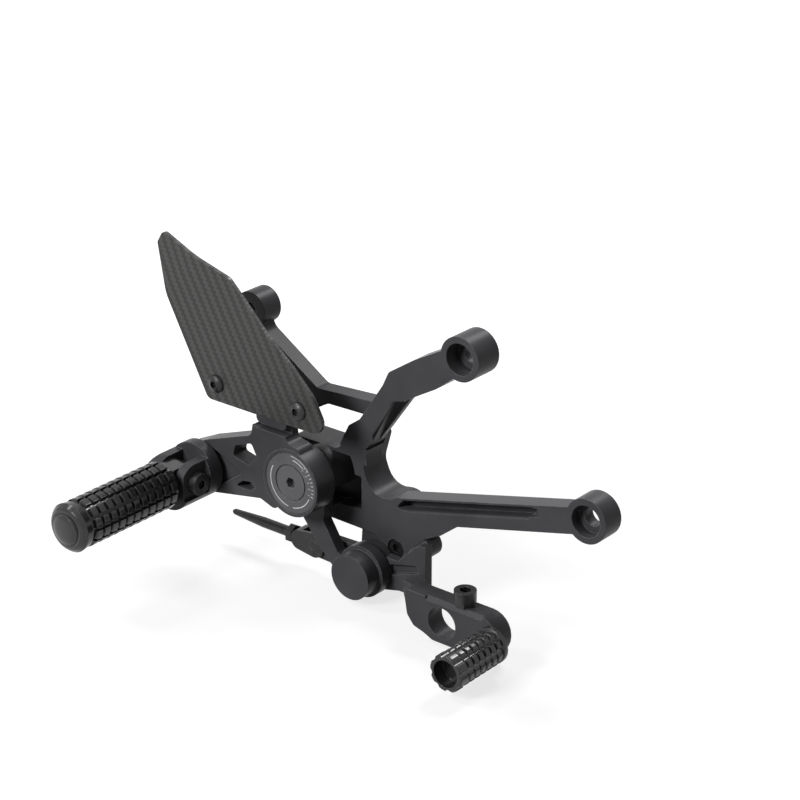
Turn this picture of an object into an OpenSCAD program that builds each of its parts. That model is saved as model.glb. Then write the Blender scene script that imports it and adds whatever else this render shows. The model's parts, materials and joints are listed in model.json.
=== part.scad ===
// Rear set footrest, right-hand (brake) side, for a sports motorcycle.
// Axes: +X towards the front of the bike, +Z up, the rider's foot is on the -Y side.
// Origin: centre of the upper frame bolt on the face that rests on the frame.

/* [Frame mounts] */
// Distance from the upper frame bolt forward to the front one
front_bolt_x = 83.5; // [78:0.5:90]
// Distance from the upper frame bolt down to the front one
front_bolt_drop = 69; // [64:0.5:74]
// Diameter of the hole for an M10 frame bolt
frame_bolt_d = 10.5; // [10.1:0.1:11]
// Diameter of the counterbore over a frame bolt's head
frame_cbore_d = 18; // [17:0.5:19]
// Depth of solid metal under a frame bolt's head
frame_seat_t = 7; // [5:0.5:9]
// Outer diameter of the two frame bosses
frame_boss_d = 25.4; // [24:0.2:28]
// Length of the upper frame boss
upper_boss_len = 18; // [16:0.5:22]
// Length of the front frame boss
front_boss_len = 14; // [12:0.5:17]
// Outer diameter of the rear auxiliary boss
aux_boss_d = 21.5; // [19:0.5:24]
// Diameter of the hole in the rear auxiliary boss
aux_hole_d = 8.5; // [8:0.1:9]

/* [Main bracket] */
// Thickness of the body around the adjuster
body_t = 20; // [18:0.5:24]
// Thickness of the sloping upper arm
upper_arm_t = 14; // [11:0.5:16]
// Thickness of the front arm
front_arm_t = 12; // [10:0.5:13]
// Height of the front arm
front_arm_h = 15; // [13:0.5:17]
// Thickness of the rear auxiliary arm
aux_arm_t = 10; // [8:0.5:11]
// Depth of the weight-saving pockets in the outer face
pocket_depth = 3.5; // [2:0.5:5]
// Depth of the recess behind the adjuster
recess_depth = 12; // [8:0.5:14]
// Radius of the recess round the adjuster
recess_r = 22.8; // [21.5:0.1:24]
// Diameter of the spigot that carries the peg adjuster
spigot_d = 28; // [24:0.5:30]

/* [Adjuster] */
// Distance from the upper frame bolt back to the adjuster bolt
adjuster_back = 95.5; // [92:0.5:100]
// Distance from the upper frame bolt down to the adjuster bolt
adjuster_drop = 89.7; // [87:0.1:92]
// Outer diameter of the carrier's clamp ring
ring_d = 40; // [38:0.5:42]
// Thickness of the clamp ring
ring_t = 15; // [13:0.5:17]
// Diameter of the clamp disc with the position scale
disc_d = 36; // [34:0.5:37]
// Thickness of the clamp disc
disc_t = 5; // [4:0.5:6]
// Diameter of the countersunk bolt's head
csk_head_d = 20; // [19:0.5:21]
// Diameter of the countersunk bolt's shank
csk_shank_d = 10; // [8:0.5:11]
// Width across the flats of the bolt's hexagon socket
csk_hex = 6; // [5:0.5:7]

/* [Peg carrier] */
// Distance from the adjuster bolt back to the footpeg axis
peg_back = 68.5; // [65:0.5:72]
// Distance from the adjuster bolt down to the footpeg axis
peg_drop = 9.3; // [7:0.1:12]
// Thickness of the carrier arm
carrier_t = 12; // [10:0.5:13]

/* [Footpeg] */
// Diameter of the folding joint's body
clevis_d = 34; // [32:0.5:36]
// Distance from the carrier's outer face to the fold axis
fold_out = 18; // [17:0.5:20]
// Width of the tongue in the folding joint
tongue_w = 13; // [11:0.5:14]
// Outer diameter of the ribbed grip
grip_d = 28; // [26:0.5:30]
// Length of the ribbed grip
grip_len = 76; // [60:1:90]
// Number of rings of knobs on the grip
grip_rings = 11; // [8:1:13]
// Number of knobs in each ring
grip_knobs = 12; // [8:1:16]
// Depth of the grooves between the knobs
grip_groove = 2.2; // [1.5:0.1:2.8]
// Diameter of the fold bolt
fold_bolt_d = 8; // [6:0.5:8]

/* [Heel guard] */
// Thickness of the heel guard plate
guard_t = 2.5; // [2:0.1:3.5]
// Distance between the two guard screws
guard_screw_gap = 61; // [57:0.5:65]
// Diameter of a guard screw's button head
button_head_d = 10.5; // [9.5:0.5:11]
// Angle by which the guard's tip leans inwards
guard_tip_lean = 10; // [4:1:16]

/* [Lever pivot] */
// Distance from the upper frame bolt back to the lever pivot
pivot_back = 57; // [55:0.5:60]
// Distance from the upper frame bolt down to the lever pivot
pivot_drop = 138; // [136:0.5:141]
// Diameter of the pivot hub on the stay
hub_d = 26.6; // [25:0.2:28]
// Diameter of the lever's eye
eye_d = 29; // [27:0.5:30]
// Diameter of the pivot bolt's shank
pivot_bolt_d = 10; // [8:0.5:12]
// Running clearance of a turning joint, on the radius
run_gap = 0.05; // [0.02:0.01:0.08]
// Thickness of the stay plate
stay_t = 7; // [6:0.5:8]

/* [Brake lever] */
// Distance from the pivot forward to the toe peg axis
toe_fwd = 104; // [98:0.5:110]
// Thickness of the lever's outer plate
lever_t = 12; // [10:0.5:13]
// Diameter of the round hole in the lever
lever_hole_d = 18.4; // [14:0.2:19]
// Length of the arm that drives the push rod
drive_arm = 42; // [39:0.5:45]

/* [Toe peg] */
// Length of the toe peg
toe_len = 38; // [34:0.5:44]
// Outer diameter of the toe peg
toe_d = 17.4; // [16:0.2:18.4]

/* [Push rod] */
// Length of the push rod from its pin to its tip
rod_len = 66; // [60:0.5:72]
// Diameter of the push rod at the fork
rod_d = 6.4; // [5.6:0.1:7]
// Diameter of the push rod's tip
rod_tip_d = 3.6; // [3:0.1:4.4]

/* [Hidden] */
$fn = 64;

// Planes across the bike, from the outside in
face_y = -upper_boss_len;
back_y = face_y + body_t;
floor_y = face_y + recess_depth;
ring_front = face_y - 29;
ring_back = ring_front + ring_t;
stay_back = ring_back + stay_t;
hub_front = face_y - 24;
lever_front = face_y - 32;
lever_back = lever_front + lever_t;

// Main axes, as [x, z]
upper_bolt = [0, 0];
front_bolt = [front_bolt_x, -front_bolt_drop];
aux_bolt = [-154.5, -11];
adjuster = [-adjuster_back, -adjuster_drop];
peg = adjuster - [peg_back, peg_drop];
pivot = [-pivot_back, -pivot_drop];
toe = pivot + [toe_fwd, -3];
fork_pivot = pivot - [drive_arm, 0];
corner = [-43.5, -125];
stop_low = [-36.3, -125.2];
stop_high = [-20.1, -110.8];
stop_lug = [-25.6, -118.8];

metal = [0.13, 0.13, 0.14];
dark = [0.08, 0.08, 0.085];
steel = [0.2, 0.2, 0.21];

// A flat outline given in x and z, as thick as from y0 to y1
module slab(y0, y1) {
  translate([0, y1, 0])
    rotate([90, 0, 0])
      linear_extrude(height = y1 - y0)
        children();
}

// A round bar along Y at p = [x, z]
module drum(p, d, y0, y1) {
  translate([p[0], y1, p[1]])
    rotate([90, 0, 0])
      cylinder(d = d, h = y1 - y0);
}

// A cone along Y at p, of diameter d0 at y0 and d1 at y1
module taper(p, d0, d1, y0, y1) {
  translate([p[0], y0, p[1]])
    rotate([-90, 0, 0])
      cylinder(d1 = d0, d2 = d1, h = y1 - y0);
}

// A hexagonal bar along Y
module hex_bar(p, flats, y0, y1) {
  translate([p[0], y1, p[1]])
    rotate([90, 0, 0])
      cylinder(d = flats / cos(30), h = y1 - y0, $fn = 6);
}

module spot(p, r) {
  translate(p) circle(r = r);
}

// Two circles joined by their outer tangents
module link(p, r, q, s, ends = true) {
  span = norm(q - p);
  run = atan2(q[1] - p[1], q[0] - p[0]);
  open = acos((r - s) / span);
  polygon([
    p + r * [cos(run + open), sin(run + open)],
    q + s * [cos(run + open), sin(run + open)],
    q + s * [cos(run - open), sin(run - open)],
    p + r * [cos(run - open), sin(run - open)]
  ]);
  if (ends) {
    spot(p, r);
    spot(q, s);
  }
}

// The same bar as a solid from y0 to y1
module bar(p, r, q, s, y0, y1) {
  slab(y0, y1) link(p, r, q, s, ends = false);
  drum(p, 2 * r, y0, y1);
  drum(q, 2 * s, y0, y1);
}

function unit(v) = v / norm(v);
function turn(a) = a > 180 ? a - 360 : (a < -180 ? a + 360 : a);

// The points of one rounded corner b between a and c, with radius r
function corner_arc(a, b, c, r, steps = 6) =
  let (
    u = unit(a - b),
    v = unit(c - b),
    half = acos(u * v) / 2,
    mid = b + unit(u + v) * (r / sin(half)),
    from = b + u * (r / tan(half)) - mid,
    to = b + v * (r / tan(half)) - mid,
    start = atan2(from[1], from[0]),
    sweep = turn(atan2(to[1], to[0]) - start)
  )
  [for (i = [0:steps]) mid + r * [cos(start + sweep * i / steps), sin(start + sweep * i / steps)]];

// An outline from corners [x, z, radius]; a radius of 0 stays sharp
module outline(corners) {
  n = len(corners);
  xy = [for (c = corners) [c[0], c[1]]];
  polygon([
    for (i = [0:n - 1])
      each corners[i][2] > 0
        ? corner_arc(xy[(i + n - 1) % n], xy[i], xy[(i + 1) % n], corners[i][2])
        : [xy[i]]
  ]);
}

// Main bracket
// Its outer face follows the adjuster, the sloping arm to the upper bolt and the front arm.
arm_run = unit(front_bolt - [-40, -100.5]);
arm_up = [-arm_run[1], arm_run[0]];
arm_start = front_bolt - arm_run * 128;
arm_rim = 1.8;
arm_lip = 8.5;

module body_outline() {
  outline([
    [-77, -58, 6], [-84, -75.8, 7], [-121, -75.8, 6], [-121, -99, 9], [-106, -113.5, 5],
    [-93.3, -113.5, 1], [-92.6, -119.8, 3], [-60, -120.2, 2],
    concat(stop_low, [0]), concat(stop_high, [4]), [-44, -94, 13], [-60, -99.5, 12], [-67.2, -82, 10], [-62, -64, 3]
  ]);
}

module upper_arm_outline() {
  outline([
    [-5, 6, 0], [-31.6, -8.7, 5], [-48.4, -19.8, 5], [-52.5, -28.5, 5], [-69, -53.2, 6],
    [-77, -59, 3], [-83.6, -72, 0], [-78, -82, 0], [-64, -80, 0], [-65.5, -71, 6],
    [-33.5, -31.5, 9], [-15.7, -21.2, 6], [-4, -12, 0]
  ]);
}

module front_arm_outline() {
  difference() {
    link(front_bolt, front_arm_h / 2, arm_start, front_arm_h / 2);
    translate([-160, -160]) square([90, 200]);
  }
}

module aux_arm_outline() {
  outline([
    [-58, -43, 0], [-60, -52.5, 0], [-97, -53.5, 4], [-110, -61, 6], [-124, -53, 5],
    [-158, -25, 6], [-164, -12, 0], [-146, -8, 0], [-146, -20, 8], [-105, -46.2, 6]
  ]);
}

module aux_pockets() {
  step = [11.5, -8.2];
  for (i = [0:2])
    outline([
      [-141.5 + i * step[0], -28.2 + i * step[1], 1.2], [-148 + i * step[0], -27.5 + i * step[1], 1.2],
      [-141 + i * step[0], -35 + i * step[1], 1.2]
    ]);
}

module front_arm_pocket() {
  top = front_arm_h / 2 - arm_rim;
  low = -front_arm_h / 2 + arm_lip;
  from = 8;
  to = 98;
  outline([
    for (c = [[from, low, 0.8], [to, low, 1.5], [to, top, 1.5], [from + 8, top, 2.5]])
      concat(arm_start + arm_run * c[0] + arm_up * c[1], [c[2]])
  ]);
}

module upper_arm_pocket() {
  outline([
    [-46.5, -36.5, 2], [-35.2, -33.6, 2], [-59.5, -69.5, 2], [-63.8, -72.2, 1.5], [-61.6, -62, 3]
  ]);
}

module recess() {
  spot(adjuster, recess_r);
  outline([[-68, -88, 1], [-68, -107.8, 1], [-83.5, -109.3, 0], [-128, -109.3, 0], [-128, -88, 0]]);
}

module frame_hole(p, boss_len) {
  drum(p, frame_bolt_d, face_y - 1, face_y + boss_len + 1);
  drum(p, frame_cbore_d, face_y - 1, face_y + boss_len - frame_seat_t);
}

// The outer edge of the sloping arm is bevelled near the upper bolt
module arm_bevel() {
  translate([-40.5, face_y, -14.2])
    rotate([0, -35.5, 0])
      rotate([-40, 0, 0])
        translate([-12, -8, -3])
          cube([24, 8, 20]);
}

module main_bracket() {
  color(metal)
  difference() {
    union() {
      slab(face_y, back_y) body_outline();
      slab(face_y, face_y + upper_arm_t) upper_arm_outline();
      slab(face_y, face_y + front_arm_t) front_arm_outline();
      slab(back_y - aux_arm_t - 4, back_y - 4) aux_arm_outline();
      drum(upper_bolt, frame_boss_d, face_y, 0);
      drum(front_bolt, frame_boss_d, face_y, face_y + front_boss_len);
      drum(aux_bolt, aux_boss_d, back_y - 14, back_y);
      drum(adjuster, spigot_d, stay_back, floor_y + 1);
      slab(face_y + 4, back_y) link(pivot, 15, pivot + [3, 16], 17);
      drum(corner, 15.6, face_y, back_y);
      slab(face_y, back_y) outline([[-60, -118, 0], [-49, -129, 0], [-37, -128, 0], [-30, -118, 0]]);
    }
    difference() {
      slab(face_y - 1, floor_y) intersection() {
        recess();
        translate([-130, -130]) square([75, -77.6 + 130]);
      }
      drum(adjuster, spigot_d, stay_back, floor_y + 1);
    }
    slab(face_y - 1, face_y + pocket_depth) front_arm_pocket();
    slab(face_y - 1, face_y + pocket_depth) upper_arm_pocket();
    slab(back_y - 30, back_y - 10) aux_pockets();
    arm_bevel();
    frame_hole(upper_bolt, upper_boss_len);
    frame_hole(front_bolt, front_boss_len);
    drum(aux_bolt, aux_hole_d, back_y - 16, back_y + 1);
    drum(adjuster, csk_shank_d, stay_back - 1, back_y + 1);
    drum(pivot, pivot_bolt_d + 2 * run_gap, face_y, back_y + 1);
    drum(corner, 6.6, face_y - 1, back_y + 1);
    drum(corner, 11.4, face_y - 1, face_y + 6.5);
  }
}

// Peg carrier: clamp ring, arm to the footpeg and the lug for the heel guard
module carrier_outline() {
  outline([
    [-84, -80, 0], [-90, -68, 4], [-99, -66, 4], [-101, -46.5, 5], [-121, -46.5, 5],
    [-125, -69, 5], [-160, -81.5, 6], [-178, -90, 6], [-178, -110, 6], [-160, -114, 6],
    [-119, -106.2, 4], [-108, -110, 4]
  ]);
}

module carrier_pockets() {
  outline([[-139.5, -85.5, 2], [-137.5, -78.6, 2], [-125, -74, 2], [-121.2, -81, 2], [-127, -88.5, 2]]);
  outline([[-138.6, -104, 1], [-132, -99, 3], [-125, -98, 2], [-121.5, -100, 1.5], [-127, -103.8, 2]]);
}

module peg_carrier() {
  color(metal)
  difference() {
    union() {
      drum(adjuster, ring_d, ring_front, ring_back);
      slab(ring_front + 1, ring_front + carrier_t) carrier_outline();
    }
    drum(adjuster, disc_d + 0.3, ring_front - 1, ring_front + disc_t);
    drum(adjuster, csk_shank_d + 1, ring_front, ring_back + 1);
    slab(ring_front - 1, ring_back + 1) carrier_pockets();
    slab(ring_front, ring_front + 3.5)
      outline([[-158, -84, 2], [-136, -92, 4], [-132.5, -95, 2], [-154, -109.5, 2], [-165, -98, 8]]);
    index_holes(ring_back - 6, ring_back + 1, 4.1);
    drum(peg, 8.4, ring_front - 1, ring_front + carrier_t + 1);
    drum(peg, 13.6, ring_front + carrier_t - 5, ring_front + carrier_t + 1);
    holder_holes(ring_front, ring_front + carrier_t + 1, 5.1);
    slab(ring_front - 1, lug_front) outline([[-98, -44, 0], [-124, -44, 0], [-124, -63, 2], [-98, -63, 2]]);
  }
}

module index_holes(y0, y1, d) {
  for (a = [60, 240])
    drum(adjuster + 11.5 * [cos(a), sin(a)], d, y0, y1);
}

module index_pins() {
  color(steel)
  index_holes(ring_back - 5.9, ring_back + 3.9, 4);
}

// Clamp disc with its countersink and the position scale
module clamp_disc() {
  seat = ring_front + disc_t;
  color(dark)
  difference() {
    drum(adjuster, disc_d, ring_front + 0.4, seat);
    drum(adjuster, csk_head_d + 2.4, ring_front - 1, ring_front + 1.2);
    taper(adjuster, csk_head_d + 0.4, csk_shank_d + 0.6, ring_front + 1.2, seat + 0.3);
    drum(adjuster, csk_shank_d + 0.6, ring_front, seat + 1);
  }
}

// Countersunk M10 bolt that clamps the disc, the ring and the stay to the spigot
module adjuster_bolt() {
  seat = ring_front + disc_t;
  color(steel)
  difference() {
    union() {
      drum(adjuster, csk_head_d, ring_front + 0.6, ring_front + 1.2);
      taper(adjuster, csk_head_d, csk_shank_d, ring_front + 1.2, seat + 0.3);
      drum(adjuster, csk_shank_d - 0.1, seat, back_y - 1);
    }
    hex_bar(adjuster, csk_hex, ring_front, ring_front + 5);
  }
}

// Stay between the adjuster and the outer end of the lever pivot
module stay_outline() {
  spot(adjuster, 15);
  outline([
    [-109, -98, 0], [-99.2, -117.4, 4], [-88, -131.2, 6], [-74, -145, 4], [-62, -136, 0],
    [-66, -130, 0], [-73.2, -133, 3], [-84.6, -115, 4], [-82, -96, 0]
  ]);
  spot(pivot, 15.4);
}

module lever_stay() {
  color(metal)
  difference() {
    union() {
      slab(ring_back, stay_back) stay_outline();
      drum(pivot, hub_d, hub_front, stay_back);
    }
    slab(ring_back + 2.5, stay_back + 1)
      outline([[-93, -114, 2], [-85.5, -117.6, 2], [-75, -132.5, 2], [-77.5, -137.6, 2]]);
    drum(adjuster, csk_shank_d + 0.2, ring_front, stay_back + 1);
    index_holes(ring_back - 1, ring_back + 4, 4.1);
    drum(pivot, pivot_thread_d, stay_back - 12, stay_back + 1);
    drum(pivot + [0, 0], hub_d - 9, hub_front - 1, hub_front - 0.5);
  }
}

// Footpeg clevis: a turned body with a fork for the folding tongue
clevis_front = ring_front - fold_out - 9.5;
fold_y = ring_front - fold_out;
slot_half = tongue_w / 2 + 0.3;
base_front = ring_front - 7;
ear_r = 11.2;

module along_x(y, z, d, x0, x1) {
  translate([x0, y, z])
    rotate([0, 90, 0])
      cylinder(d = d, h = x1 - x0);
}

// A flat outline given in y and z, as thick as from x0 to x1
module across(x0, x1) {
  translate([x0, 0, 0])
    rotate([90, 0, 90])
      linear_extrude(height = x1 - x0)
        children();
}

// What is cut from the ears so that the grip can fold up
module fold_clearance() {
  z = peg[1];
  difference() {
    polygon([
      [clevis_front - 5, z + 1], [clevis_front - 5, z + 30], [base_front, z + 30],
      [base_front, z + ear_r], [fold_y, z + ear_r], [fold_y, z + 1]
    ]);
    spot([fold_y, z], ear_r);
  }
}

module peg_clevis() {
  color(metal)
  difference() {
    drum(peg, clevis_d, clevis_front, ring_front);
    translate([peg[0] - slot_half, clevis_front - 1, peg[1] - 9.8])
      cube([2 * slot_half, base_front - clevis_front + 1, clevis_d]);
    across(peg[0] - clevis_d, peg[0] + clevis_d) fold_clearance();
    translate([peg[0] + clevis_d / 2 - 4.2, fold_y - 12, peg[1] - 8.5])
      cube([8, 20.5, 40]);
    along_x(fold_y, peg[1], 14, peg[0] - clevis_d, peg[0] - clevis_d / 2 + 4.5);
    along_x(fold_y, peg[1], fold_bolt_d + 0.2, peg[0] - clevis_d, peg[0] + clevis_d);
    drum(peg, 6.8, ring_front - 8, ring_front + 1);
  }
}

// Socket screw that holds the clevis to the carrier, from behind
module clevis_screw() {
  seat = ring_front + carrier_t - 5;
  color(steel)
  difference() {
    union() {
      drum(peg, 13, seat, seat + 7.5);
      drum(peg, 8, ring_front, seat);
      drum(peg, 6.7, ring_front - 7.5, ring_front);
    }
    hex_bar(peg, 6, seat + 3.5, seat + 8);
  }
}

// Footpeg: the tongue, its neck and the ribbed grip are one turned and milled piece
grip_in = fold_y - 12;
grip_out = grip_in - grip_len;
ring_pitch = (grip_len - 12) / grip_rings;

module grip_profile() {
  r = grip_d / 2;
  polygon([
    [0, 0], [r - 2.6, 0], [r - 2.6, 2.2],
    for (i = [0:grip_rings - 1])
      each [
        [r - grip_groove, 2.4 + i * ring_pitch], [r, 3.3 + i * ring_pitch],
        [r, 1.2 + (i + 1) * ring_pitch], [r - grip_groove, 2.3 + (i + 1) * ring_pitch]
      ],
    [r - 2.4, grip_len - 8.2], [r - 0.2, grip_len - 7.2], [r + 0.3, grip_len - 3],
    [r - 1.6, grip_len - 0.8], [r - 3.2, grip_len], [0, grip_len]
  ]);
}

module footpeg() {
  color(dark)
  difference() {
    union() {
      difference() {
        translate([peg[0], grip_in, peg[1]])
          rotate([90, 0, 0])
            rotate_extrude()
              grip_profile();
        for (i = [0:grip_knobs - 1])
          translate([peg[0], grip_in - 2.3, peg[1]])
            rotate([90, i * 360 / grip_knobs, 0])
              translate([grip_d / 2 - grip_groove + 0.3, -1, 0])
                cube([grip_groove + 2, 2, grip_rings * ring_pitch + 0.6]);
      }
      along_x(fold_y, peg[1], 18.6, peg[0] - tongue_w / 2, peg[0] + tongue_w / 2);
      translate([peg[0] - tongue_w / 2, grip_in - 0.5, peg[1] - 9.3])
        cube([tongue_w, fold_y - grip_in + 0.5, 18.6]);
    }
    along_x(fold_y, peg[1], fold_bolt_d + 2 * run_gap, peg[0] - 20, peg[0] + 20);
    along_x(fold_y, peg[1], 14, peg[0] - tongue_w / 2 - 1, peg[0] - tongue_w / 2 + spring_len + 0.2);
    drum(peg, 18.6, grip_out - 1, grip_out + 5);
  }
}

module peg_end_plug() {
  color(dark)
  translate([peg[0], grip_out + 5, peg[1]])
    rotate([90, 0, 0])
      rotate_extrude()
        polygon([
          [0, 0], [9.2, 0], [9.2, 5.2], [8.7, 6.2],
          for (a = [20:14:90]) [8.2 * cos(a), 6 + 1.6 * sin(a)]
        ]);
}

// The fold bolt and its nut clamp the two ears; the tongue turns on the bolt
module fold_bolt() {
  ear = clevis_d / 2 - 4.2;
  color(steel)
  difference() {
    union() {
      along_x(fold_y, peg[1], 13, peg[0] + ear, peg[0] + ear + 5);
      along_x(fold_y, peg[1], fold_bolt_d, peg[0] - ear - 5, peg[0] + ear);
    }
    translate([peg[0] + ear + 2.2, fold_y, peg[1]])
      rotate([0, 90, 0])
        cylinder(d = 5 / cos(30), h = 4, $fn = 6);
  }
}

module fold_nut() {
  ear = clevis_d / 2 - 4.5;
  color(steel)
  difference() {
    translate([peg[0] - ear - 5.5, fold_y, peg[1]])
      rotate([0, 90, 0])
        cylinder(d = 11.6 / cos(30), h = 5.5, $fn = 6);
    along_x(fold_y, peg[1], fold_bolt_d + 0.1, peg[0] - ear - 9, peg[0] - ear + 1);
  }
}

// Flat-wire torsion spring round the fold bolt, in the tongue's counterbore
spring_len = 4.6;
module fold_spring() {
  turns = 3;
  arc = 288;
  color(steel)
  translate([peg[0] - tongue_w / 2 - 0.1, fold_y, peg[1]])
    rotate([0, 90, 0])
      linear_extrude(height = spring_len, twist = 360 * turns, slices = 9 * turns)
        polygon([
          for (a = [0:arc / 6:arc]) 4.9 * [cos(a), sin(a)],
          for (a = [arc:-arc / 6:0]) 6.2 * [cos(a), sin(a)]
        ]);
}

// Heel guard
// The main panel stands upright; the tip leans inwards about a sloping line.
guard_out = ring_front;
guard_in = guard_out + guard_t;
screw_front = [-88.4, -43.8];
screw_rear = screw_front - [guard_screw_gap, 0];
holder_t = 4.5;
lug_front = guard_in + holder_t;
lug_back = ring_front + carrier_t;
bend_low = [-188.4, 3];
bend_high = [-160.2, 28.6];

module guard_outline() {
  outline([
    [-194.6, 31, 2], [-188.6, 38.2, 3.5], [-156.2, 26.7, 8], [-135.3, 23.3, 6], [-126, 15, 9],
    [-109.3, -4.9, 0], [-91.5, -18.5, 0], [-76, -33.8, 12], [-64.5, -54.6, 7],
    [-156.4, -54.6, 5]
  ]);
}

module guard_tip_side() {
  run = unit(bend_high - bend_low);
  side = [-run[1], run[0]];
  polygon([
    bend_low - run * 30, bend_high + run * 30, bend_high + run * 30 + side * 60, bend_low - run * 30 + side * 60
  ]);
}

module heel_guard() {
  run = unit(bend_high - bend_low);
  color(dark)
  difference() {
    union() {
      slab(guard_out, guard_in) difference() {
        guard_outline();
        guard_tip_side();
      }
      translate([bend_low[0], guard_out, bend_low[1]])
        rotate(a = -guard_tip_lean, v = [run[0], 0, run[1]])
          translate([-bend_low[0], -guard_out, -bend_low[1]])
            slab(guard_out, guard_in) intersection() {
              guard_outline();
              guard_tip_side();
            }
    }
    drum(screw_front, 6.4, guard_out - 1, guard_in + 1);
    drum(screw_rear, 6.4, guard_out - 1, guard_in + 1);
  }
}

// Bar behind the guard that takes its two screws
module guard_holder() {
  color(metal)
  difference() {
    union() {
      bar(screw_front, 7, screw_rear, 7, guard_in, lug_front);
      slab(guard_in, lug_front) outline([[-100, -40, 0], [-122, -40, 0], [-122, -60, 3], [-100, -60, 3]]);
    }
    drum(screw_front, 5.1, guard_in - 1, lug_front + 1);
    drum(screw_rear, 5.1, guard_in - 1, lug_front + 1);
    slab(guard_in - 1, guard_in + 2.2)
      outline([[-128, -39.6, 2], [-140, -39.6, 2], [-140, -47.6, 2], [-128, -47.6, 2]]);
    holder_holes(guard_in - 1, lug_front + 1, 5.5);
  }
}

module holder_holes(y0, y1, d) {
  for (x = [-105.5, -116.5])
    drum([x, -53.5], d, y0, y1);
}

module holder_screws() {
  color(steel)
  for (x = [-105.5, -116.5])
    difference() {
      union() {
        drum([x, -53.5], 8.5, lug_back, lug_back + 3);
        drum([x, -53.5], 4.9, guard_in + 0.6, lug_back);
      }
      hex_bar([x, -53.5], 3, lug_back + 1.2, lug_back + 4);
    }
}

module guard_screws() {
  color(steel)
  for (p = [screw_front, screw_rear])
    difference() {
      union() {
        translate([p[0], guard_out, p[1]])
          rotate([90, 0, 0])
            rotate_extrude()
              polygon([
                [0, 0], [button_head_d / 2, 0], [button_head_d / 2, 0.7],
                for (a = [20:14:76]) [button_head_d / 2 * cos(a), 0.5 + 2.6 * sin(a)],
                [0, 3.05]
              ]);
        drum(p, 4.9, guard_out, lug_front + 2);
      }
      hex_bar(p, 4, guard_out - 4, guard_out - 0.8);
    }
}

// Brake lever: eye, stop lug, drive arm and toe plate are one piece
pivot_thread_d = 8;
eye_front = stay_back + 0.9;
eye_back = face_y + 3.1;
drive_front = eye_front + 1.7;
drive_back = drive_front + 5;

module lever_plate_outline() {
  outline([
    [-10.5, -126, 3], [-13.5, -127, 2], [-9, -142, 6], [-2, -149.5, 8], [10, -154.4, 10],
    [32, -155, 10], [52, -151.5, 8], [59, -145, 5], [58.6, -131, 7], [51, -126.2, 5]
  ]);
}

module lever_arm_outline() {
  spot(pivot, eye_d / 2);
  outline([
    [-57, -126, 0], [-46, -128.5, 4], [-36.5, -128.5, 4], [-31.5, -122.5, 0], [-22, -114, 0],
    [-13, -120, 3], [-2, -128, 4], [2, -146, 6], [-14, -146, 6], [-32, -142.3, 10], [-50, -149, 4], [-57, -150, 0]
  ]);
}

// The lug's flat side meets the slanted edge of the bracket
module stop_lug_outline() {
  run = unit(stop_high - stop_low);
  side = [-run[1], run[0]];
  gap = 0.35;
  difference() {
    spot(stop_lug, 7.2);
    polygon([
      stop_low - run * 20 - side * gap, stop_high + run * 20 - side * gap,
      stop_high + run * 20 + side * 20, stop_low - run * 20 + side * 20
    ]);
  }
}

module brake_lever() {
  color(metal)
  difference() {
    union() {
      slab(lever_front, lever_back) lever_plate_outline();
      slab(eye_front, face_y - 0.4) lever_arm_outline();
      slab(lever_back - 1, eye_front + 1) outline([[-11.5, -128, 3], [-8.4, -142, 5], [-2, -147, 4], [3, -147, 3], [3, -128, 3]]);
      drum(pivot, 21, eye_front, eye_back);
      slab(face_y - 1, face_y + 10) stop_lug_outline();
      slab(drive_front, drive_back) link(pivot, 9, fork_pivot, 7.5);
    }
    drum([14.4, -140.4], lever_hole_d, lever_front - 1, lever_back + 1);
    drum(pivot, bush_d, eye_front - 1, eye_back + 1);
    drum(fork_pivot, fork_pin_d + 2 * run_gap, drive_front - 1, drive_back + 1);
    drum(toe, 8.1, lever_front - 1, lever_back + 1);
    drum(toe, 13.6, lever_back - 6, lever_back + 1);
    translate([screw_x, lever_front + lever_t / 2, -141]) cylinder(d = 6.1, h = 20);
    slab(eye_front - 1, eye_front + 2.5) outline([[-43, -132, 1.5], [-22, -125.5, 1.5], [-17, -131, 1.5], [-42, -138.5, 1.5]]);
  }
}

// Bronze bush pressed in the lever's eye, turning on the pivot bolt
bush_d = 14;
module lever_bush() {
  color([0.45, 0.35, 0.2])
  difference() {
    drum(pivot, bush_d - 0.02, eye_front, eye_back);
    drum(pivot, pivot_bolt_d + 2 * run_gap, eye_front - 1, eye_back + 1);
  }
}

module pivot_washers() {
  color(steel)
  for (y = [stay_back + 0.05, eye_back + 0.05])
    difference() {
      drum(pivot, 19, y, y + 0.8);
      drum(pivot, pivot_bolt_d + 0.2, y - 1, y + 2);
    }
}

// Shoulder bolt through the bracket, put in from behind
module pivot_bolt() {
  color(steel)
  difference() {
    union() {
      drum(pivot, 17, back_y, back_y + 4.5);
      drum(pivot, pivot_bolt_d, stay_back, back_y);
      drum(pivot, pivot_thread_d - 0.1, stay_back - 11, stay_back);
    }
    hex_bar(pivot, 6, back_y + 1.4, back_y + 6);
  }
}

module corner_screw() {
  color(steel)
  difference() {
    union() {
      drum(corner, 10, face_y + 0.6, face_y + 6.5);
      drum(corner, 6, face_y + 6.5, back_y - 2);
    }
    hex_bar(corner, 5, face_y, face_y + 3.6);
  }
}

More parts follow.
